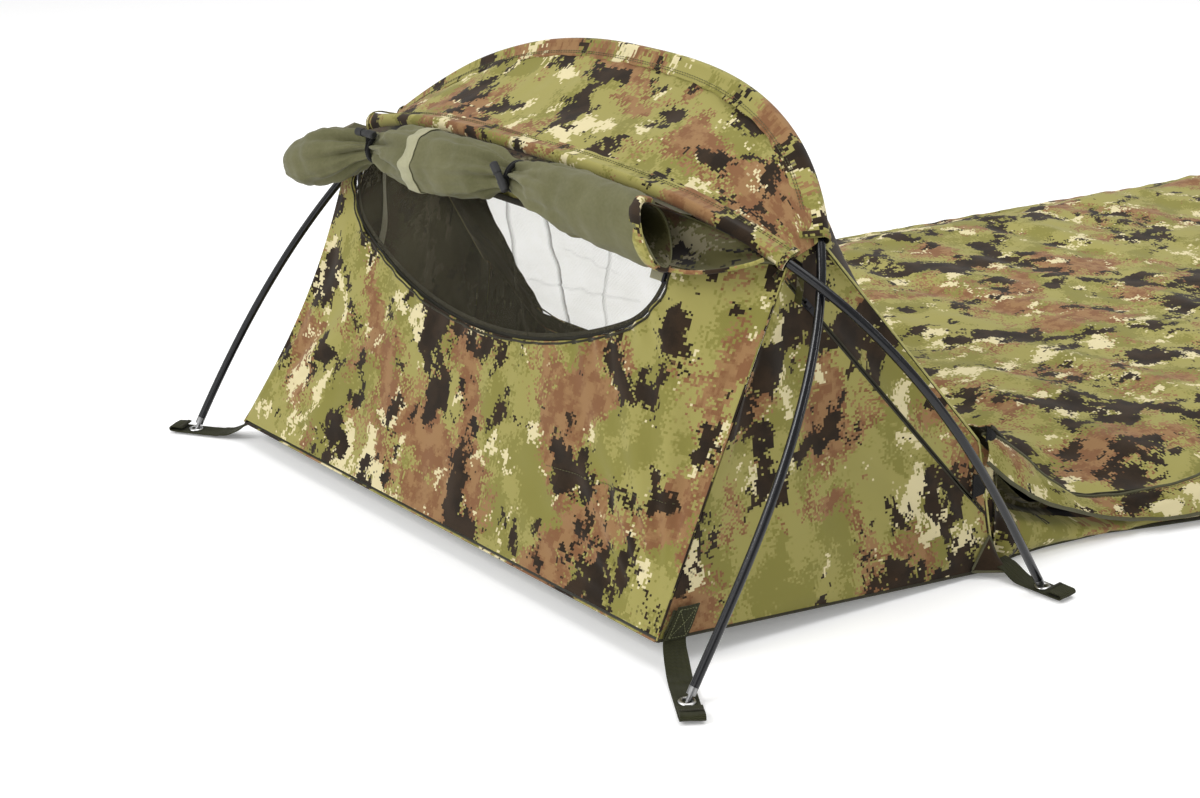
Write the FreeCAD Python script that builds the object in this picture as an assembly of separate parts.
import FreeCAD, Part
import math
import os

# Hooped one-person bivy sack. Millimetres, +Z up.
# X runs across the head compartment (right is +X, left is -X). Y runs from the
# head wall (-Y, "front") to the foot (+Y, "rear"). The origin is on the ground,
# below the middle of the hooped head compartment (the hood).
# Points and directions are plain (x, y, z) tuples. A frame is an origin and three axes.

os.makedirs("parts", exist_ok=True)

# ------------------------------------------------------------------
# Driving dimensions
# ------------------------------------------------------------------
FRONT_HALF_W = 380.0      # floor half width at the head wall
REAR_HALF_W = 452.0       # floor half width at the rear corners of the hood
HALF_LEN = 210.0          # half depth of the hood
FRONT_LIFT = 29.0         # front floor edge is lifted by the pole tension
FABRIC_T = 1.2            # shell fabric with coating and hems
MESH_T = 0.8              # insect net
FLOOR_T = 1.5             # groundsheet
BAG_FLAP_T = 1.6          # storm flap over the bag zip

# Corners on the right side; the left ones are mirrored in X.
FRONT_CORNER = (FRONT_HALF_W, -HALF_LEN, FRONT_LIFT)
REAR_CORNER = (REAR_HALF_W, HALF_LEN, 3.0)
KNEE = (428.0, 200.0, 145.0)    # bend in the rear edge of a side wall

# Each hoop is half a superellipse that leans from its feet to its apex.
# The front hoop leans to the head from the rear corners, the rear hoop
# leans to the foot from the front corners.
POLE_FOOT_Z = 9.6         # height of the lowest full-diameter point of a pole
FRONT_HOOP = dict(foot_x=516.0, foot_y=208.0, apex_y=-86.0, apex_z=433.0,
                  squareness=2.97, skew=36.0)
REAR_HOOP = dict(foot_x=454.0, foot_y=-233.0, apex_y=66.0, apex_z=513.0,
                 squareness=2.553, skew=55.0)
HOOP_STEPS = 4000         # points along a hoop's path
HOOP_BUNCHING = 0.9       # how closely the points crowd at the feet
SWEEP_STEP = 38.0         # spacing of the spline points of a swept hoop piece

POLE_R = 4.75
POLE_BORE_R = 4.05
INSERT_R = 3.80           # joint inserts and tip spigots
INSERT_BORE_R = 2.60
INSERT_HALF_L = 45.0
CORD_R = 1.6
CORD_SIDES = 12
CORD_END_GAP = 4.0        # from a tip's spigot to the end of the cord
SECTIONS = 5              # shock-corded sections in each hoop
SECTION_HALF_GAP = 0.15
TIP_COLLAR = 8.0
TIP_GAP = 0.3
TIP_SPIGOT = 32.0
TIP_CHORD = 30.0          # length of hoop that sets a tip's direction
PIN_R = 2.4
PIN_END_Z = 1.9
PIN_OVERLAP = 1.0         # how far a pin runs into its collar

SLEEVE_BORE_R = 5.75
FRONT_SLEEVE_R = 7.0
REAR_SLEEVE_R = 8.0
FRONT_SLEEVE_RIGHT_Z = 380.0    # heights where the sleeves end
FRONT_SLEEVE_LEFT_Z = 396.0
REAR_SLEEVE_Z = 393.0

ZIP_W = 5.0
ZIP_T = 2.0

V = FreeCAD.Vector


# ------------------------------------------------------------------
# Points, directions and frames
# ------------------------------------------------------------------
def dist(a, b):
    return math.sqrt(sum((p - q) ** 2 for p, q in zip(a, b)))


def lerp(a, b, t):
    return tuple(p + (q - p) * t for p, q in zip(a, b))


def minus(a, b):
    return tuple(p - q for p, q in zip(a, b))


def moved(point, direction, distance):
    return tuple(p + d * distance for p, d in zip(point, direction))


def negated(a):
    return tuple(-p for p in a)


def cross(a, b):
    return (a[1] * b[2] - a[2] * b[1], a[2] * b[0] - a[0] * b[2], a[0] * b[1] - a[1] * b[0])


def unit(a):
    length = math.sqrt(sum(p * p for p in a)) or 1.0
    return tuple(p / length for p in a)


def mirrored(point, side):
    """The point itself for side 1 (right), its mirror image in X for side -1 (left)."""
    return (side * point[0], point[1], point[2])


def place(frame, x, y, z):
    """Point given by its coordinates in a frame."""
    origin, axis_x, axis_y, axis_z = frame
    return tuple(origin[i] + axis_x[i] * x + axis_y[i] * y + axis_z[i] * z for i in range(3))


def slid(frame, x):
    """The frame moved along its first axis."""
    return (place(frame, x, 0.0, 0.0),) + frame[1:]


def trimmed(a, b, trim_a, trim_b):
    """Ends of the line a-b, shortened at both ends."""
    length = dist(a, b)
    return lerp(a, b, trim_a / length), lerp(a, b, 1 - trim_b / length)


def smooth(start, end, value):
    """Eased step from 0 at start to 1 at end."""
    t = min(max((value - start) / (end - start), 0.0), 1.0)
    return t * t * (3 - 2 * t)


def bulge(t):
    """0 at both ends of 0..1, 1 in the middle."""
    return math.sin(math.pi * t)


def look_up(table, y, eased=False):
    """Value at y in a table of (y, value) rows."""
    for (y0, value0), (y1, value1) in zip(table, table[1:]):
        if y <= y1:
            t = smooth(y0, y1, y) if eased else (y - y0) / (y1 - y0)
            return value0 + (value1 - value0) * t
    return table[-1][1]


def span(start, end, count):
    return [start + (end - start) * i / (count - 1) for i in range(count)]


# ------------------------------------------------------------------
# Solids
# ------------------------------------------------------------------
def save(name, shape):
    # Some faceted cuts come out slightly invalid and are repaired before export.
    if not shape.isValid():
        shape = shape.copy()
        shape.fix(1e-4, 1e-5, 1e-3)
    shape.exportStep("parts/" + name + ".step")


def polygon_face(points):
    vectors = [V(*p) for p in points]
    return Part.Face(Part.makePolygon(vectors + vectors[:1]))


def cylinder(radius, length, base, axis=(0, 0, 1)):
    return Part.makeCylinder(radius, length, V(*base), V(*axis))


def box_in(frame, x_range, y_range, z_range):
    """Box with sides along a frame's axes."""
    (x0, x1), (y0, y1), (z0, z1) = x_range, y_range, z_range
    base = polygon_face([place(frame, x, y, z0) for x, y in ((x0, y0), (x1, y0), (x1, y1), (x0, y1))])
    return base.extrude(V(*place(frame, x0, y0, z1)) - V(*place(frame, x0, y0, z0)))


def offset_grid(grid, distance):
    """Grid of points moved along its local normals."""
    last_i, last_j = len(grid) - 1, len(grid[0]) - 1
    out = []
    for i, line in enumerate(grid):
        row = []
        for j, point in enumerate(line):
            along_i = minus(grid[min(i + 1, last_i)][j], grid[max(i - 1, 0)][j])
            along_j = minus(line[min(j + 1, last_j)], line[max(j - 1, 0)])
            row.append(moved(point, unit(cross(along_i, along_j)), distance))
        out.append(row)
    return out


def solid_between(g0, g1):
    """Closed solid between two grids of points, with flat triangles."""
    rows, columns = len(g0), len(g0[0])
    faces = []

    def triangle(a, b, c):
        if min(dist(a, b), dist(b, c), dist(a, c)) >= 1e-6:
            faces.append(polygon_face([a, b, c]))

    def quad(a, b, c, d):
        triangle(a, b, c)
        triangle(a, c, d)

    for i in range(rows - 1):
        for j in range(columns - 1):
            quad(g0[i][j], g0[i + 1][j], g0[i + 1][j + 1], g0[i][j + 1])
            quad(g1[i][j], g1[i][j + 1], g1[i + 1][j + 1], g1[i + 1][j])
    for i in range(rows - 1):
        quad(g0[i][0], g1[i][0], g1[i + 1][0], g0[i + 1][0])
        quad(g0[i][-1], g0[i + 1][-1], g1[i + 1][-1], g1[i][-1])
    for j in range(columns - 1):
        quad(g0[0][j], g0[0][j + 1], g1[0][j + 1], g1[0][j])
        quad(g0[-1][j], g1[-1][j], g1[-1][j + 1], g0[-1][j + 1])
    shell = Part.makeShell(faces)
    shell.sewShape()
    # Sewing can wrap the shell in another shape type.
    solid = Part.makeSolid(shell if shell.ShapeType == "Shell" else shell.Shells[0])
    if solid.Volume < 0:
        solid.reverse()
    return solid


def thickened(grid, thickness):
    return solid_between(offset_grid(grid, thickness / 2), offset_grid(grid, -thickness / 2))


def sheet(surface, us, vs, thickness):
    """Sheet on surface(u, v), with its facets between the given u and v values."""
    return thickened([[surface(u, v) for v in vs] for u in us], thickness)


def ring_face(centre, normal, outer_r, inner_r):
    def disc(radius):
        return Part.Face(Part.Wire(Part.makeCircle(radius, V(*centre), V(*normal))))
    if inner_r <= 0:
        return disc(outer_r)
    return disc(outer_r).cut(disc(inner_r)).Faces[0]


def sweep(points, outer_r, inner_r=0.0, sides=0):
    """Bar or tube along a spline: round, or a bar with flat sides like a braid."""
    curve = Part.BSplineCurve()
    curve.interpolate([V(*p) for p in points])
    tangent = tuple(curve.tangent(curve.FirstParameter)[0])
    if sides:
        tangent = unit(tangent)
        across = unit(cross(tangent, (0.0, 0.0, 1.0) if abs(tangent[2]) < 0.9 else (1.0, 0.0, 0.0)))
        frame = (points[0], across, cross(tangent, across), tangent)
        angles = [2 * math.pi * k / sides for k in range(sides)]
        face = polygon_face([place(frame, outer_r * math.cos(a), outer_r * math.sin(a), 0.0)
                             for a in angles])
    else:
        face = ring_face(points[0], tangent, outer_r, inner_r)
    return Part.Wire([curve.toShape()]).makePipe(face)


# ------------------------------------------------------------------
# Hoop paths, each from its right foot to its left foot
# ------------------------------------------------------------------
class Path:
    """A polyline that can be read by distance along it."""

    def __init__(self, points):
        self.points = points
        self.distances = [0.0]
        for a, b in zip(points, points[1:]):
            self.distances.append(self.distances[-1] + dist(a, b))
        self.length = self.distances[-1]

    def at(self, distance):
        distance = min(max(distance, 0.0), self.length)
        low, high = 0, len(self.distances) - 1
        while high - low > 1:
            middle = (low + high) // 2
            if self.distances[middle] <= distance:
                low = middle
            else:
                high = middle
        gap = (self.distances[high] - self.distances[low]) or 1.0
        return lerp(self.points[low], self.points[high], (distance - self.distances[low]) / gap)

    def distance_at_height(self, z, from_left=False):
        """Distance to the first point at or above z, coming from the right or left foot."""
        pairs = list(zip(self.distances, self.points))
        if from_left:
            pairs.reverse()
        return next(distance for distance, point in pairs if point[2] >= z)


def hoop_path(foot_x, foot_y, apex_y, apex_z, squareness, skew):
    points = []
    for i in range(HOOP_STEPS + 1):
        k = i / HOOP_STEPS
        t = math.pi * (k - math.sin(2 * math.pi * k) / (2 * math.pi) * HOOP_BUNCHING)
        c = math.cos(t)
        rise = abs(math.sin(t)) ** (2 / squareness)
        x = foot_x * math.copysign(abs(c) ** (2 / squareness), c) + skew * rise ** 1.5
        points.append((x, foot_y + (apex_y - foot_y) * rise,
                       POLE_FOOT_Z + (apex_z - POLE_FOOT_Z) * rise))
    return Path(points)


front_hoop = hoop_path(**FRONT_HOOP)
rear_hoop = hoop_path(**REAR_HOOP)

# distances along the hoops where the sleeves end
front_sleeve_right = front_hoop.distance_at_height(FRONT_SLEEVE_RIGHT_Z)
front_sleeve_left = front_hoop.distance_at_height(FRONT_SLEEVE_LEFT_Z, from_left=True)
rear_sleeve_right = rear_hoop.distance_at_height(REAR_SLEEVE_Z)
rear_sleeve_left = rear_hoop.distance_at_height(REAR_SLEEVE_Z, from_left=True)


def front_rim(u):
    """Point in the front sleeve, u = 0 at its left end, 1 at its right end."""
    return front_hoop.at(front_sleeve_left + (front_sleeve_right - front_sleeve_left) * u)


def rear_rim(u):
    return rear_hoop.at(rear_sleeve_left + (rear_sleeve_right - rear_sleeve_left) * u)


def hoop_pipe(path, start, end, outer_r, inner_r=0.0, sides=0):
    """Bar or tube along a stretch of a hoop."""
    count = max(4, int((end - start) / SWEEP_STEP) + 1)
    points = [path.at(start + (end - start) * i / count) for i in range(count + 1)]
    return sweep(points, outer_r, inner_r, sides)


# ------------------------------------------------------------------
# Surfaces of the hood
# ------------------------------------------------------------------
WALL_SLOPE = 0.318        # slope of the flat head wall, dy/dz
WALL_BLEND = (285, 365)   # distance from the middle where the wall leaves its plane
WALL_MIDDLE_X = 10
LEFT_SEAM_BOW = 24.0
SIDE_SAG = 9.0
REAR_PANEL_SAG = 10.0
ROOF_SAG = 7.0
REAR_DIP_X = 320.0        # the rear panel's lower edge is at its lowest inside this
REAR_DIP_Y = 22.0
REAR_DIP_Z = 68.0


def wall_y(z):
    return -HALF_LEN + (z - FRONT_LIFT) * WALL_SLOPE


def head_surface(u, v):
    """Head wall, u = 0 left to 1 right, v = 0 floor to 1 front hoop."""
    top = front_rim(u)
    plane_y = wall_y(top[2])
    blend = smooth(*WALL_BLEND, abs(top[0] - WALL_MIDDLE_X))
    top = (top[0], plane_y + (top[1] - plane_y) * blend, top[2])
    low, high = trimmed(lerp(mirrored(FRONT_CORNER, -1), FRONT_CORNER, u), top, 3.0, 11.0)
    x, y, z = lerp(low, high, v)
    bow = LEFT_SEAM_BOW * bulge(v) * (1 - smooth(0.0, 0.20, u))
    return (x + bow, y + bow * 0.16, z)


def front_seam(v, side):
    """Seam between the head wall and a side wall."""
    if side > 0:
        return lerp(FRONT_CORNER, front_hoop.at(front_sleeve_right), v)
    x, y, z = lerp(mirrored(FRONT_CORNER, -1), front_hoop.at(front_sleeve_left), v)
    return (x + LEFT_SEAM_BOW * bulge(v), y + 4.0 * bulge(v), z)


def rear_edge(v, side):
    """Rear edge of a side wall: from the floor corner by the knee to the rear sleeve's end."""
    corner = mirrored(REAR_CORNER, side)
    knee = mirrored(KNEE, side)
    top = rear_hoop.at(rear_sleeve_right if side > 0 else rear_sleeve_left)
    z = corner[2] + (top[2] - corner[2]) * v
    if z < knee[2]:
        return lerp(corner, knee, (z - corner[2]) / (knee[2] - corner[2]))
    return lerp(knee, top, (z - knee[2]) / (top[2] - knee[2]))


def side_surface(u, v, side=1):
    """Side wall, u = 0 at the head wall seam to 1 at the rear edge, v = 0 at the floor."""
    front, rear = trimmed(front_seam(v, side), rear_edge(v, side), 2.0, 2.0)
    x, y, z = lerp(front, rear, u)
    return (x - side * SIDE_SAG * bulge(u) * bulge(v), y, z)


def rear_panel_bottom(u):
    x = -KNEE[0] + 2 * KNEE[0] * u
    dip = smooth(KNEE[0], REAR_DIP_X, abs(x))
    return (x, KNEE[1] + REAR_DIP_Y * dip, KNEE[2] + (REAR_DIP_Z - KNEE[2]) * dip)


def rear_surface(u, v):
    """Rear panel, v = 0 at the rear hoop, 1 at the bag."""
    top, bottom = trimmed(rear_rim(u), rear_panel_bottom(u), 11.0, 2.0)
    x, y, z = lerp(top, bottom, v)
    return (x, y - REAR_PANEL_SAG * bulge(u) * bulge(v), z)


def roof_surface(u, v):
    """Roof, v = 0 at the front hoop, 1 at the rear hoop."""
    front, rear = trimmed(front_rim(u), rear_rim(u), 9.5, 10.5)
    x, y, z = lerp(front, rear, v)
    return (x, y, z - ROOF_SAG * bulge(v) * bulge(u))


PANEL_US = span(0.0, 1.0, 21)
PANEL_VS = span(0.0, 1.0, 9)
SIDE_VS = span(0.0, 0.97, 13)

# ------------------------------------------------------------------
# Groundsheet: flat from the ramp to the foot, ramped up to the front edge
# ------------------------------------------------------------------
RAMP_Y = -120.0
RAMP_DROP = 3.0           # ramp's underside below the front edge

# Outline of the floor behind the hood: y, half width.
OUTLINE = [
    (HALF_LEN, REAR_HALF_W), (252, 445), (301, 452), (377, 471), (433, 496), (490, 519),
    (545, 528), (1845, 287), (1930, 266), (2005, 235), (2060, 190), (2098, 120),
]


def make_groundsheet():
    ramp_half_w = FRONT_HALF_W + (REAR_HALF_W - FRONT_HALF_W) * (RAMP_Y + HALF_LEN) / (2 * HALF_LEN)
    right = [(ramp_half_w, RAMP_Y)] + [(half_w, y) for y, half_w in OUTLINE]
    plan = right + [(-x, y) for x, y in reversed(right)]
    flat = polygon_face([(x, y, 0) for x, y in plan]).extrude(V(0, 0, FLOOR_T))
    under = [[(side * ramp_half_w, RAMP_Y, 0),
              (side * FRONT_HALF_W, -HALF_LEN, FRONT_LIFT - RAMP_DROP)] for side in (-1, 1)]
    over = [[(x, y, z + FLOOR_T) for x, y, z in row] for row in under]
    return flat.fuse(solid_between(under, over)).removeSplitter()


save("groundsheet", make_groundsheet())

# ------------------------------------------------------------------
# Head wall and its D window: a three-centred arch, hanging down
# ------------------------------------------------------------------
WINDOW_X = 8.0            # centre of the window
WINDOW_HALF_W = 270.0
WINDOW_TOP_Z = 362.0
WINDOW_BOTTOM_Z = 241.0
WINDOW_SIDE_R = 80.0      # small side radius of the outline
WINDOW_SIDE_STEPS = 8
WINDOW_MAIN_STEPS = 18
WINDOW_EDGE_GAP = 3.4     # fabric and net edges to either side of the outline
WALL_CUT_TOP = 14.0       # top of the cuts above the outline's top line
NET_CUT_TOP = 12.5
WINDOW_CUT_DEPTH = 40.0   # to either side of the wall
WINDOW_ZIP_HALF_W = 1.9
WINDOW_ZIP_LEVELS = (-0.9, 1.1)    # inner and outer face of the chain

wall_up = unit((0.0, WALL_SLOPE, 1.0))
wall_out = unit((0.0, -1.0, WALL_SLOPE))
# axes: right, up the wall, outward; origin in the middle of the outline's top line
WINDOW_FRAME = ((WINDOW_X, wall_y(WINDOW_TOP_Z), WINDOW_TOP_Z), (1.0, 0.0, 0.0), wall_up, wall_out)

window_drop = (WINDOW_TOP_Z - WINDOW_BOTTOM_Z) * math.sqrt(1 + WALL_SLOPE ** 2)
side_centre_x = WINDOW_HALF_W - WINDOW_SIDE_R
main_r = ((side_centre_x ** 2 + window_drop ** 2 - WINDOW_SIDE_R ** 2)
          / (2 * (window_drop - WINDOW_SIDE_R)))
main_centre_h = main_r - window_drop
main_half_angle = math.atan2(side_centre_x, main_centre_h)


def window_outline(grow):
    """Points (x, height) of the hanging arch from the right end to the left end."""
    side_arc = []
    for i in range(WINDOW_SIDE_STEPS + 1):
        angle = (math.pi / 2 - main_half_angle) * i / WINDOW_SIDE_STEPS
        side_arc.append((side_centre_x + (WINDOW_SIDE_R + grow) * math.cos(angle),
                         -(WINDOW_SIDE_R + grow) * math.sin(angle)))
    main_arc = []
    for i in range(1, WINDOW_MAIN_STEPS):
        angle = main_half_angle - 2 * main_half_angle * i / WINDOW_MAIN_STEPS
        main_arc.append(((main_r + grow) * math.sin(angle),
                         main_centre_h - (main_r + grow) * math.cos(angle)))
    return side_arc + main_arc + [(-x, height) for x, height in reversed(side_arc)]


def window_prism(grow, top):
    """Block through the wall with the outline grown all round and closed above at top."""
    arch = window_outline(grow)
    outline = [(arch[0][0], top)] + arch + [(arch[-1][0], top)]
    face = polygon_face([place(WINDOW_FRAME, x, height, -WINDOW_CUT_DEPTH) for x, height in outline])
    return face.extrude(V(*wall_out) * (2 * WINDOW_CUT_DEPTH))


def make_window_zip_chain():
    """Chain in the gap between the wall and the net."""
    pairs = list(zip(window_outline(-WINDOW_ZIP_HALF_W), window_outline(WINDOW_ZIP_HALF_W)))
    inner, outer = [
        [[place(WINDOW_FRAME, x, height, level) for x, height in pair] for pair in pairs]
        for level in WINDOW_ZIP_LEVELS]
    return solid_between(inner, outer)


save("head_wall", sheet(head_surface, PANEL_US, PANEL_VS, FABRIC_T).cut(
    window_prism(WINDOW_EDGE_GAP, WALL_CUT_TOP)))
save("window_mesh", sheet(head_surface, PANEL_US, PANEL_VS, MESH_T).common(
    window_prism(-WINDOW_EDGE_GAP, NET_CUT_TOP)))
save("window_zip_chain", make_window_zip_chain())

# ------------------------------------------------------------------
# Zip sliders and pulls
# A slider's frame has its axes along the chain, across it and outward.
# ------------------------------------------------------------------
RING_L = 12.0
RING_W = 7.4
RING_T = 4.6
RING_CLEARANCE = 0.35     # between a ring slider and its chain
BAIL_HALF_W = 1.5
BAIL_START, BAIL_END = -4.0, 3.4
BAIL_LEG = 1.4
PULL_W = 6.0
PULL_HALF_T = 0.55        # also the radius of the pull's bar
PULL_PIVOT_X = -0.4
PULL_LEG_INNER = 1.9
RING_PIVOT_Z = RING_T / 2 + 0.9
RING_PULL_EYE = 4.9

CAR_TOP = 3.6             # top of the flat window slider
CAR_PIVOT_Z = 4.4
CAR_PULL_EYE = 4.7
CAR_ANGLE = math.radians(8.0)    # round the side arc from the zip's right end


def make_bail(frame, foot_z, bridge_z, top_z):
    """Low bridge that holds the pull."""
    across = (-BAIL_HALF_W, BAIL_HALF_W)
    first_leg = box_in(frame, (BAIL_START, BAIL_START + BAIL_LEG), across, (foot_z, bridge_z))
    bridge = box_in(frame, (BAIL_START, BAIL_END), across, (bridge_z, top_z))
    second_leg = box_in(frame, (BAIL_END - BAIL_LEG, BAIL_END), across, (foot_z, bridge_z))
    return first_leg.fuse(bridge).fuse(second_leg)


def make_car_slider(frame):
    """Flat slider on the outer face of the chain."""
    car = box_in(frame, (-6.0, 6.0), (-4.0, 4.0), (1.7, CAR_TOP))
    return car.fuse(make_bail(frame, CAR_TOP, 5.2, 6.4)).removeSplitter()


def make_ring_slider(frame):
    """Slider that encloses the chain."""
    top = RING_T / 2
    half_w = ZIP_W / 2 + RING_CLEARANCE
    half_t = ZIP_T / 2 + RING_CLEARANCE
    outer = box_in(frame, (-RING_L / 2, RING_L / 2), (-RING_W / 2, RING_W / 2), (-top, top))
    inner = box_in(frame, (-RING_L, RING_L), (-half_w, half_w), (-half_t, half_t))
    bail = make_bail(frame, top - 0.1, top + 1.7, top + 2.8)
    return outer.cut(inner).fuse(bail).removeSplitter()


def make_pull(frame, pivot_z, length, eye):
    """Pull tab with an eye round the bail, lying towards -x of the frame from its pivot."""
    half_w = PULL_W / 2
    levels = (pivot_z - PULL_HALF_T, pivot_z + PULL_HALF_T)
    leg_x = (PULL_PIVOT_X - eye - 0.2, PULL_PIVOT_X + 0.5)
    plate = box_in(frame, (PULL_PIVOT_X - length, PULL_PIVOT_X - eye), (-half_w, half_w), levels)
    legs = box_in(frame, leg_x, (-half_w, -PULL_LEG_INNER), levels).fuse(
        box_in(frame, leg_x, (PULL_LEG_INNER, half_w), levels))
    bar = cylinder(PULL_HALF_T, PULL_W, place(frame, PULL_PIVOT_X, -half_w, pivot_z), frame[2])
    return plate.fuse(legs).fuse(bar).removeSplitter()


def save_ring_slider(name, frame, pull_length):
    """Ring slider and its pull, which lies the opposite way along the chain."""
    centre, along, across, out = frame
    save(name + "_slider", make_ring_slider(frame))
    save(name + "_pull", make_pull((centre, negated(along), negated(across), out),
                                   RING_PIVOT_Z, pull_length, RING_PULL_EYE))


def car_frame():
    sine, cosine = math.sin(CAR_ANGLE), math.cos(CAR_ANGLE)
    centre = place(WINDOW_FRAME, side_centre_x + WINDOW_SIDE_R * cosine, -WINDOW_SIDE_R * sine, 0.0)
    along = unit((-sine, -wall_up[1] * cosine, -wall_up[2] * cosine))
    return (centre, along, unit(cross(wall_out, along)), wall_out)


save("window_slider", make_car_slider(car_frame()))
save("window_pull", make_pull(car_frame(), CAR_PIVOT_Z, 20.0, CAR_PULL_EYE))

# ------------------------------------------------------------------
# Side walls; the right one is split by the straight entrance zip
# ------------------------------------------------------------------
ENTRANCE_TOP = (0.30, 0.90)       # zip ends as u, v on the side wall
ENTRANCE_BOTTOM = (0.905, 0.27)
ENTRANCE_NORMAL_AT = (0.62, 0.60)
ENTRANCE_NORMAL_STEP = 0.05
ENTRANCE_SLOT_W = 8.6
ENTRANCE_ZIP_INSET = 4.0
ENTRANCE_SLIDER_AT = 18.0         # down the zip


def entrance_frame():
    """Origin at the zip's top; axes down the zip, across it and outward."""
    down = unit(minus(side_surface(*ENTRANCE_BOTTOM), side_surface(*ENTRANCE_TOP)))
    u, v = ENTRANCE_NORMAL_AT
    step = ENTRANCE_NORMAL_STEP
    along_u = minus(side_surface(u + step, v), side_surface(u - step, v))
    along_v = minus(side_surface(u, v + step), side_surface(u, v - step))
    normal = unit(cross(along_u, along_v))
    # square the wall's normal to the zip
    out = unit(moved(normal, down, -sum(a * b for a, b in zip(normal, down))))
    return (side_surface(*ENTRANCE_TOP), down, unit(cross(out, down)), out)


ENTRANCE_FRAME = entrance_frame()
entrance_length = dist(side_surface(*ENTRANCE_TOP), side_surface(*ENTRANCE_BOTTOM))


def right_wall_pieces():
    """The right wall cut along the zip, from the head end to the rear."""
    wall = sheet(side_surface, span(0, 1, 13), SIDE_VS, FABRIC_T)
    slot = box_in(ENTRANCE_FRAME, (-120.0, entrance_length + 120.0),
                  (-ENTRANCE_SLOT_W / 2, ENTRANCE_SLOT_W / 2), (-60.0, 60.0))
    return sorted(wall.cut(slot).Solids, key=lambda solid: solid.CenterOfMass.y)


def make_straight_chain(frame, start, end):
    return box_in(frame, (start, end), (-ZIP_W / 2, ZIP_W / 2), (-ZIP_T / 2, ZIP_T / 2))


save("left_side_wall",
     sheet(lambda u, v: side_surface(u, v, -1), span(0, 1, 11), SIDE_VS, FABRIC_T))
wall_pieces = right_wall_pieces()
save("right_side_wall", wall_pieces[0])
save("entrance_panel", wall_pieces[-1])
save("entrance_zip_chain", make_straight_chain(
    ENTRANCE_FRAME, ENTRANCE_ZIP_INSET, entrance_length - ENTRANCE_ZIP_INSET))
save_ring_slider("entrance", slid(ENTRANCE_FRAME, ENTRANCE_SLIDER_AT), 26.0)

# Roof between the two sleeves.
save("hood_roof", sheet(roof_surface, PANEL_US, span(0.0, 1.0, 5), FABRIC_T))

# ------------------------------------------------------------------
# Rear panel with its vent window, net and rolled vent cover
# ------------------------------------------------------------------
VENT_X = 8.0
VENT_HALF_W = 318.0
VENT_BOTTOM_Z = 96.0
VENT_TOP_Z = 345.0
VENT_CORNER_R = 120.0     # both top corners
VENT_CORNER_STEPS = 8
VENT_EDGE_GAP = 1.0
VENT_CUT_DEPTH = 400
VENT_ROLL_R = 13.0

# Centre line of the rolled vent cover: x, y, z.
VENT_ROLL = [
    (-300.0, 239.0, 90.0), (-150.0, 244.0, 90.0), (VENT_X, 245.0, 90.0),
    (166.0, 244.0, 90.0), (316.0, 239.0, 90.0),
]


def vent_prism(grow):
    """Block along Y with the vent's outline grown all round."""
    half_w = VENT_HALF_W + grow
    bottom = VENT_BOTTOM_Z - grow
    radius = VENT_CORNER_R + grow
    corner_x = half_w - radius
    corner_z = VENT_TOP_Z + grow - radius
    points = [(-half_w, bottom), (half_w, bottom), (half_w, corner_z)]
    for side, first in ((1, 1), (-1, 0)):
        for i in range(first, VENT_CORNER_STEPS + 1):
            angle = math.pi / 2 * i / VENT_CORNER_STEPS + (0 if side > 0 else math.pi / 2)
            points.append((side * corner_x + radius * math.cos(angle),
                           corner_z + radius * math.sin(angle)))
    return polygon_face([(x + VENT_X, 0.0, z) for x, z in points]).extrude(V(0, VENT_CUT_DEPTH, 0))


save("rear_panel", sheet(rear_surface, PANEL_US, PANEL_VS, FABRIC_T).cut(vent_prism(VENT_EDGE_GAP)))
save("rear_vent_mesh",
     sheet(rear_surface, PANEL_US, PANEL_VS, MESH_T).common(vent_prism(-VENT_EDGE_GAP)))
save("rear_vent_cover_roll", sweep(VENT_ROLL, VENT_ROLL_R))

# Pole sleeves.
save("front_pole_sleeve", hoop_pipe(
    front_hoop, front_sleeve_right, front_sleeve_left, FRONT_SLEEVE_R, SLEEVE_BORE_R))
save("rear_pole_sleeve", hoop_pipe(
    rear_hoop, rear_sleeve_right, rear_sleeve_left, REAR_SLEEVE_R, SLEEVE_BORE_R))

# ------------------------------------------------------------------
# Bag: top panel and right side band
# ------------------------------------------------------------------
# Height of the middle of the bag's top: y, z.
BAG_HEIGHT = [
    (205, 66), (300, 66), (450, 63), (700, 60), (1400, 56), (1900, 50), (2040, 40), (2098, 24),
]
# Top of the right side band, the lower side of the zip: y, z.
BAND_TOP = [
    (210, 126.0), (222, 100.0), (304, 46.0), (365, 33.0), (416, 31.5), (2000, 31.5), (2098, 16.0),
]
BAND_EASED_TO_Y = 420     # the band's top is eased up to here, straight beyond
BAND_BOTTOM_Z = 3.2

# Facet lines of the top panel, across it (0 left to 1 right) and along Y.
TOP_QS = [0.0, 0.06, 0.12, 0.16, 0.20, 0.25, 0.30, 0.40, 0.54, 0.68,
          0.78, 0.83, 0.88, 0.93, 0.965, 1.0]
TOP_YS = [208, 225, 250, 280, 320, 370, 430, 500, 560, 700, 900, 1150, 1400, 1650,
          1850, 1930, 2000, 2050, 2090]
BAND_YS = [216, 225, 250, 280, 320, 370, 430, 490, 545, 700, 1000, 1300, 1600,
           1845, 1930, 2005, 2060, 2088]

TOP_WALL_Q = 0.12         # across the top: left wall, left shoulder, flat, right shoulder
TOP_LEFT_Q = 0.30
TOP_RIGHT_Q = 0.78
LEFT_EDGE_Z = 30.0
LEFT_EDGE_HEAD_Z = 118.0  # near the hood the left edge stands up
LEFT_SHOULDER_W = 130.0   # shoulder widths where the half width is SHOULDER_REF_W
RIGHT_SHOULDER_W = 150.0
SHOULDER_REF_W = 500.0
TOP_START_SIDE_Y = 212.0  # head edge of the top at the sides and in the middle
TOP_START_MIDDLE_Y = 256.0


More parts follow.
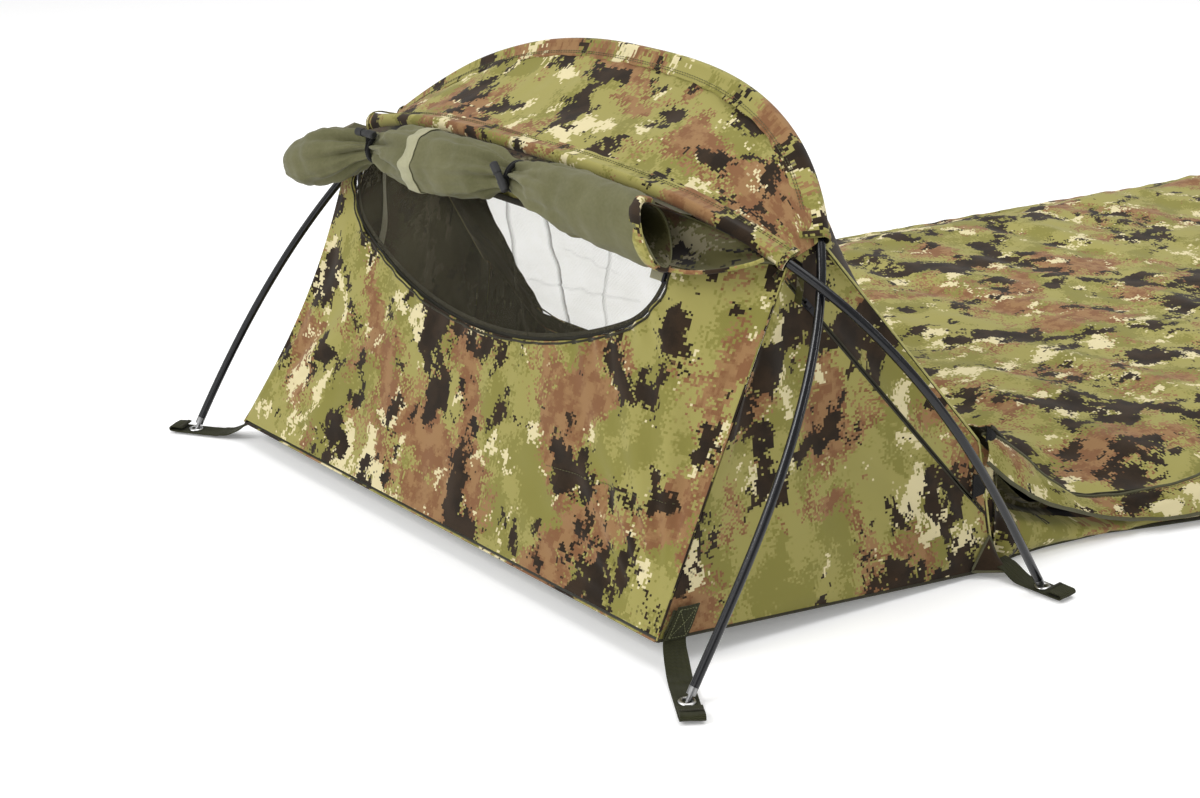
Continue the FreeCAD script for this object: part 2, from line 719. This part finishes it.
def half_width(y):
    return look_up(OUTLINE, y)


def band_top_z(y):
    return look_up(BAND_TOP, y, eased=y < BAND_EASED_TO_Y)


def top_section(q, y):
    """(x, z) on the bag's top, q = 0 on the left floor edge, 1 at the zip on the right."""
    half_w = half_width(y)
    middle_z = look_up(BAG_HEIGHT, y)
    scale = half_w / SHOULDER_REF_W
    left_z = LEFT_EDGE_Z + (LEFT_EDGE_HEAD_Z - LEFT_EDGE_Z) * (1 - smooth(205.0, 430.0, y))
    right_x, right_z = half_w - 17.5, band_top_z(y) + 9.0
    flat_left = -half_w + 9.0 + LEFT_SHOULDER_W * scale
    flat_right = right_x - RIGHT_SHOULDER_W * scale
    if q < TOP_WALL_Q:
        t = q / TOP_WALL_Q
        return (-half_w + 3.0 + 6.0 * t, 3.0 + (left_z - 3.0) * t)
    if q < TOP_LEFT_Q:
        t = (q - TOP_WALL_Q) / (TOP_LEFT_Q - TOP_WALL_Q)
        return (-half_w + 9.0 + LEFT_SHOULDER_W * t * scale,
                left_z + (middle_z - left_z) * smooth(0, 1, t))
    if q < TOP_RIGHT_Q:
        t = (q - TOP_LEFT_Q) / (TOP_RIGHT_Q - TOP_LEFT_Q)
        return (flat_left + (flat_right - flat_left) * t, middle_z)
    t = (q - TOP_RIGHT_Q) / (1 - TOP_RIGHT_Q)
    return (flat_right + (right_x - flat_right) * t,
            middle_z + (right_z - middle_z) * smooth(0, 1, t))


def top_surface(q, y):
    """Bag top, with its head edge set back behind the rolled vent cover."""
    x, z = top_section(q, y)
    first, last = TOP_YS[0], TOP_YS[-1]
    start = (TOP_START_SIDE_Y
             + (TOP_START_MIDDLE_Y - TOP_START_SIDE_Y) * smooth(430.0, 340.0, abs(x)))
    return (x, start + (y - first) * (last - start) / (last - first), z)


def band_surface(q, y):
    """Right side band, q = 0 at the floor, 1 at the zip."""
    return (half_width(y) - 3.0 - 5.5 * q, y,
            BAND_BOTTOM_Z + (band_top_z(y) - BAND_BOTTOM_Z) * q)


save("bag_top_panel", sheet(top_surface, TOP_QS, TOP_YS, FABRIC_T))
save("bag_side_band", sheet(band_surface, [0.0, 0.5, 1.0], BAND_YS, FABRIC_T))

# ------------------------------------------------------------------
# Bag zip, straight from the shoulder to the foot, and its storm flap
# ------------------------------------------------------------------
BAG_ZIP_START_Y = 556.0
BAG_ZIP_END_Y = 1836.0
BAG_ZIP_INSET = 12.0      # in from the floor edge
BAG_ZIP_Z = 36.3
BAG_SLIDER_AT = 16.0      # along the zip

# Section of the storm flap from its seam on the top panel: out from the floor edge, z.
FLAP_SECTION = [
    (-47.0, 48.0), (-36.0, 58.0), (-20.0, 66.0), (-4.0, 66.0), (9.0, 56.0),
    (14.0, 42.0), (14.5, 30.0),
]
# Head end of the flap, rising to the side wall: y, inner x, inner z, outer x, outer z.
FLAP_HEAD = [
    (205.0, 448.0, 152.0, 440.0, 122.0), (228.0, 440.0, 130.0, 455.0, 104.0),
    (262.0, 432.0, 104.0, 463.0, 76.0), (304.0, 430.0, 80.0, 466.0, 56.0),
    (365.0, 440.0, 68.0, 482.0, 34.0), (430.0, 462.0, 62.0, 506.0, 30.0),
    (490.0, 483.0, 60.5, 531.0, 30.0), (545.0, 493.6, 60.0, 540.6, 30.0),
]
FLAP_HEAD_BULGE = 9.0

zip_start = (half_width(BAG_ZIP_START_Y), BAG_ZIP_START_Y, 0.0)
zip_end = (half_width(BAG_ZIP_END_Y), BAG_ZIP_END_Y, 0.0)
bag_zip_length = dist(zip_start, zip_end)
edge_along = unit(minus(zip_end, zip_start))
edge_out = unit((edge_along[1], -edge_along[0], 0.0))
# on the floor edge: axes to the foot, level out of the bag, up
EDGE_FRAME = (zip_start, edge_along, edge_out, (0.0, 0.0, 1.0))
# the chain lies tilted: axes along it, up across it, outward
zip_across = unit(moved((0.0, 0.0, 0.79), edge_out, -0.61))
BAG_ZIP_FRAME = (place(EDGE_FRAME, 0.0, -BAG_ZIP_INSET, BAG_ZIP_Z), edge_along, zip_across,
                 unit(cross(edge_along, zip_across)))


def make_bag_flap():
    stations = [bag_zip_length * k for k in (0.0, 0.25, 0.5, 0.75, 1.0)]
    return thickened([[place(EDGE_FRAME, s, out, z) for s in stations] for out, z in FLAP_SECTION],
                     BAG_FLAP_T)


def make_flap_head_end():
    grid = []
    for y, inner_x, inner_z, outer_x, outer_z in FLAP_HEAD:
        row = []
        for t in (0.0, 0.3, 0.6, 0.85, 1.0):
            swell = bulge(t) * FLAP_HEAD_BULGE
            fall = t * t * 0.6 + t * 0.4
            row.append((inner_x + (outer_x - inner_x) * t + swell * 0.4 + 4.0, y,
                        inner_z + 3.0 + (outer_z - inner_z) * fall + swell * 0.6))
        grid.append(row)
    return thickened(grid, BAG_FLAP_T)


save("bag_zip_chain", make_straight_chain(BAG_ZIP_FRAME, 0.0, bag_zip_length))
save_ring_slider("bag", slid(BAG_ZIP_FRAME, BAG_SLIDER_AT), 15.0)
save("bag_storm_flap", make_bag_flap())
save("bag_flap_head_end", make_flap_head_end())

# Hook and loop patches that close the end of the zip.
HOOK_FRAME = ((438.4, 196.0, 100.0), (0, 1, 0), (0, 0, 1), (1, 0, 0))
LOOP_FRAME = ((428.0, 236.0, 148.0),
              unit((0, 1, -0.9)), unit((0.9, 0.1, 0.1)), unit((0.1, 0.62, 0.78)))
save("flap_hook_patch", box_in(HOOK_FRAME, (-12.0, 8.0), (-12.0, 12.0), (0.0, 1.4)))
save("flap_loop_patch", box_in(LOOP_FRAME, (-18.0, 18.0), (-7.0, 7.0), (2.5, 3.9)))

# ------------------------------------------------------------------
# Rolled storm flap above the window, with its bands, ties and toggles
# ------------------------------------------------------------------
# Circular sections of the roll, left to right: x, y, z, radius. It is pinched at the ties.
ROLL = [
    (-352.0, -137.5, 352.0, 3.0), (-341.0, -137.5, 355.0, 20.0), (-313.0, -138.0, 362.0, 30.0),
    (-277.0, -137.0, 372.0, 32.0), (-240.0, -131.0, 382.0, 25.0), (-205.0, -125.5, 392.0, 14.0),
    (-192.0, -124.0, 394.0, 12.0), (-178.0, -125.0, 396.0, 15.0), (-140.0, -128.0, 400.0, 26.0),
    (-64.0, -130.0, 404.0, 31.0), (10.0, -128.5, 410.0, 26.0), (48.0, -125.0, 412.5, 14.0),
    (62.0, -124.0, 413.0, 12.5), (76.0, -125.0, 413.0, 15.0), (115.0, -128.0, 412.0, 26.0),
    (184.0, -130.0, 409.0, 31.0), (250.0, -130.0, 404.5, 32.0), (281.0, -129.0, 402.5, 30.0),
]
ROLL_RISE = 0.04          # dz/dx of the roll's axis
ROLL_AXIS = (1, 0, ROLL_RISE)
BAND_T = 1.6              # tape band and tie loops
TAPE_CENTRE = (-89.0, -129.3, 402.84)
TAPE_BORE_R = 32.4
TAPE_W = 22.0
TIE_W = 10.0
# Ties: name, centre, inner radius, toggle tilt (from +X to +Z), toggle turn
# (up round the roll from straight out at -Y), both in radians.
TIES = [
    ("left", (-192.0, -124.0, 394.0), 15.0, 0.05, 0.80),
    ("right", (62.0, -124.0, 413.0), 15.2, -0.9, 0.0),
]
TOGGLE_L = 34.0
TOGGLE_R = 4.6
TOGGLE_CHAMFER = 1.4
TOGGLE_WAIST_L = 9.0
TOGGLE_WAIST_R = 3.9
TOGGLE_CUT_R = 6.0
TOGGLE_STANDOFF = 7.0     # toggle axis outside the tie loop
TOGGLE_LIFT = 4.0


def make_roll():
    wires = [Part.Wire(Part.makeCircle(r, V(x, y, z), V(*ROLL_AXIS))) for x, y, z, r in ROLL]
    return Part.makeLoft(wires, True, True)


def make_roll_band(centre, inner_r, width):
    """Band round the roll; its bore is cut 1 mm past both ends."""
    half = width / 2
    outer = cylinder(inner_r + BAND_T, width, moved(centre, ROLL_AXIS, -half), ROLL_AXIS)
    inner = cylinder(inner_r, width + 2.0, moved(centre, ROLL_AXIS, -half - 1.0), ROLL_AXIS)
    return outer.cut(inner)


def make_toggle(tie_centre, tie_r, tilt, turn):
    """Chamfered barrel with a waist, outside its tie loop."""
    x, y, z = tie_centre
    axis = unit((math.cos(tilt), 0.0, math.sin(tilt)))
    reach = tie_r + BAND_T + TOGGLE_STANDOFF
    centre = (x, y - reach * math.cos(turn), z + TOGGLE_LIFT + reach * math.sin(turn))
    body = cylinder(TOGGLE_R, TOGGLE_L, moved(centre, axis, -TOGGLE_L / 2), axis)
    rims = [e for e in body.Edges if e.Curve.TypeId == "Part::GeomCircle"]
    body = body.makeChamfer(TOGGLE_CHAMFER, rims)
    waist_base = moved(centre, axis, -TOGGLE_WAIST_L / 2)
    waist = cylinder(TOGGLE_CUT_R, TOGGLE_WAIST_L, waist_base, axis).cut(
        cylinder(TOGGLE_WAIST_R, TOGGLE_WAIST_L, waist_base, axis))
    return body.cut(waist)


def scoop_surface(u, v):
    """Loose right end of the storm flap, v = 0 at the front hoop to 1 at its curved lower edge."""
    x, y, z = front_hoop.at(front_sleeve_right + 12.0 + (1 - u) * 118.0)
    top = (x, y - 11.0, z - 6.0)
    inner, middle, outer = (291.0, -137.0, 375.0), (330.0, -122.0, 366.0), (366.0, -84.0, 372.0)
    low = lerp(lerp(inner, middle, u), lerp(middle, outer, u), u)
    x, y, z = lerp(top, low, v)
    swell = bulge(v) * 10.0
    return (x, y - swell, z + swell * 0.3)


save("storm_flap_roll", make_roll())
save("flap_tape_band", make_roll_band(TAPE_CENTRE, TAPE_BORE_R, TAPE_W))
for tie_name, tie_centre, tie_r, tilt, turn in TIES:
    save(tie_name + "_tie_loop", make_roll_band(tie_centre, tie_r, TIE_W))
    save(tie_name + "_toggle", make_toggle(tie_centre, tie_r, tilt, turn))
save("storm_flap_end", sheet(scoop_surface, span(0.20, 1.0, 7), span(0.0, 1.0, 5), FABRIC_T))

# ------------------------------------------------------------------
# Hoops: shock-corded pole sections, joint inserts, cord and tips
# ------------------------------------------------------------------
TAB_Z = 2.6               # middle of the webbing where the pole pins pass through


def make_tip(foot, direction):
    """Collar, spigot into the pole and pin down to the ground."""
    collar = cylinder(POLE_R, TIP_COLLAR, foot, direction)
    spigot = cylinder(INSERT_R, TIP_SPIGOT, moved(foot, direction, TIP_COLLAR), direction)
    pin_length = (foot[2] - PIN_END_Z) / direction[2]
    pin = cylinder(PIN_R, pin_length + PIN_OVERLAP, moved(foot, direction, -pin_length), direction)
    return collar.fuse(spigot).fuse(pin).removeSplitter()


def save_pole(name, path):
    """Save a hoop's pieces; return where its right and left pins cross the webbing."""
    start = TIP_COLLAR + TIP_GAP
    end = path.length - TIP_COLLAR - TIP_GAP
    step = (end - start) / SECTIONS
    for i in range(SECTIONS):
        first = start + step * i + (SECTION_HALF_GAP if i else 0.0)
        last = start + step * (i + 1) - (SECTION_HALF_GAP if i < SECTIONS - 1 else 0.0)
        save("%s_pole_section_%d" % (name, i + 1), hoop_pipe(path, first, last, POLE_R, POLE_BORE_R))
    joints = [start + step * i for i in range(1, SECTIONS)]
    save(name + "_pole_inserts", Part.makeCompound([
        hoop_pipe(path, joint - INSERT_HALF_L, joint + INSERT_HALF_L, INSERT_R, INSERT_BORE_R)
        for joint in joints]))
    cord_start = TIP_COLLAR + TIP_SPIGOT + CORD_END_GAP
    save(name + "_pole_cord",
         hoop_pipe(path, cord_start, path.length - cord_start, CORD_R, sides=CORD_SIDES))
    tips, crossings = [], []
    for foot, beyond in ((path.at(0.0), path.at(TIP_CHORD)),
                         (path.at(path.length), path.at(path.length - TIP_CHORD))):
        direction = unit(minus(beyond, foot))
        tips.append(make_tip(foot, direction))
        crossings.append(moved(foot, direction, -(foot[2] - TAB_Z) / direction[2]))
    save(name + "_pole_tips", Part.makeCompound(tips))
    return crossings


front_pins = save_pole("front", front_hoop)
rear_pins = save_pole("rear", rear_hoop)

# ------------------------------------------------------------------
# Corner tabs of webbing with grommets and peg loops
# ------------------------------------------------------------------
TAB_W = 25.0
TAB_T = 1.8
GROMMET_OR = 8.5
GROMMET_IR = 4.6
GROMMET_BARREL_R = GROMMET_IR + 1.3
TAB_HOLE_R = GROMMET_IR + 1.6
FLANGE_T = 0.8
FLANGE_GAP = 0.1          # between a flange and the webbing
BORE_BOTTOM_Z, BORE_L = -2.0, 12.0


def tab_profile(start_z, rear, run, end_length):
    """(distance, z) along a tab: down from the floor corner, past the pin, back over as a loop."""
    second_z = start_z - 1.0 if rear else start_z
    profile = [(3.0, start_z), (10.0, second_z)]
    landing = min(max(run * 0.62, 26.0), run - 13.0)
    for k in range(1, 6):
        t = k / 6
        profile.append((10.0 + (landing - 10.0) * t,
                        TAB_Z + (second_z - TAB_Z) * (1 - smooth(0, 1, t))))
    loop_start = run + end_length - 8.0
    profile += [(landing, TAB_Z), (run + 10.0, TAB_Z), (loop_start, TAB_Z)]
    for k in range(1, 7):
        angle = math.pi * k / 6
        profile.append((loop_start + 3.2 * math.sin(angle) + 1.0,
                        TAB_Z + 2.6 * (1 - math.cos(angle)) + 0.4 * k / 6))
    loop_end = run + end_length - 24.0 if end_length > 36 else run + 12.0
    profile.append((loop_end, TAB_Z + 5.6))
    return profile


def make_ribbon(path, across):
    """Webbing that follows a path of points in a vertical plane."""
    under, over = [], []
    for i, point in enumerate(path):
        tangent = unit(minus(path[min(i + 1, len(path) - 1)], path[max(i - 1, 0)]))
        frame = (point, across, unit(cross(across, tangent)), tangent)
        for grid, level in ((under, -TAB_T / 2), (over, TAB_T / 2)):
            grid.append([place(frame, x, level, 0.0) for x in (-TAB_W / 2, TAB_W / 2)])
    return solid_between(under, over)


def make_tab(start, rise, pin, end_length):
    """Tab from a start point, lifted by rise, that runs towards a pole's pin."""
    direction = unit((pin[0] - start[0], pin[1] - start[1], 0.0))
    run = math.hypot(pin[0] - start[0], pin[1] - start[1])
    profile = tab_profile(start[2] + rise, rise > 0, run, end_length)
    path = [(start[0] + direction[0] * s, start[1] + direction[1] * s, z) for s, z in profile]
    ribbon = make_ribbon(path, unit(cross((0, 0, 1), direction)))
    return ribbon.cut(cylinder(TAB_HOLE_R, BORE_L, (pin[0], pin[1], BORE_BOTTOM_Z)))


def make_grommet(pin):
    """Two flanges joined by a barrel through the webbing."""
    x, y = pin[:2]
    low = TAB_Z - TAB_T / 2 - FLANGE_GAP
    high = TAB_Z + TAB_T / 2 + FLANGE_GAP
    barrel = cylinder(GROMMET_BARREL_R, high - low + 1.0, (x, y, low - 0.5))
    top = cylinder(GROMMET_OR, FLANGE_T, (x, y, high))
    bottom = cylinder(GROMMET_OR, FLANGE_T, (x, y, low - FLANGE_T))
    bore = cylinder(GROMMET_IR, BORE_L, (x, y, BORE_BOTTOM_Z))
    return barrel.fuse(top).fuse(bottom).cut(bore).removeSplitter()


front_start = (FRONT_HALF_W + 4.0, -HALF_LEN - 2.0, FRONT_LIFT)
rear_start = (REAR_HALF_W + 4.0, HALF_LEN + 1.0, 8.0)
# Tabs: name, side, start on the right side, rise at the start, pin, length past the pin.
TABS = [
    ("front_right_tab", 1, front_start, -4.0, rear_pins[0], 40.0),
    ("front_left_tab", -1, front_start, -4.0, rear_pins[1], 34.0),
    ("rear_right_tab", 1, rear_start, 6.0, front_pins[0], 36.0),
    ("rear_left_tab", -1, rear_start, 6.0, front_pins[1], 36.0),
]
for tab_name, side, start, rise, pin, end_length in TABS:
    save(tab_name, make_tab(mirrored(start, side), rise, pin, end_length))
save("corner_grommets", Part.makeCompound([make_grommet(row[4]) for row in TABS]))
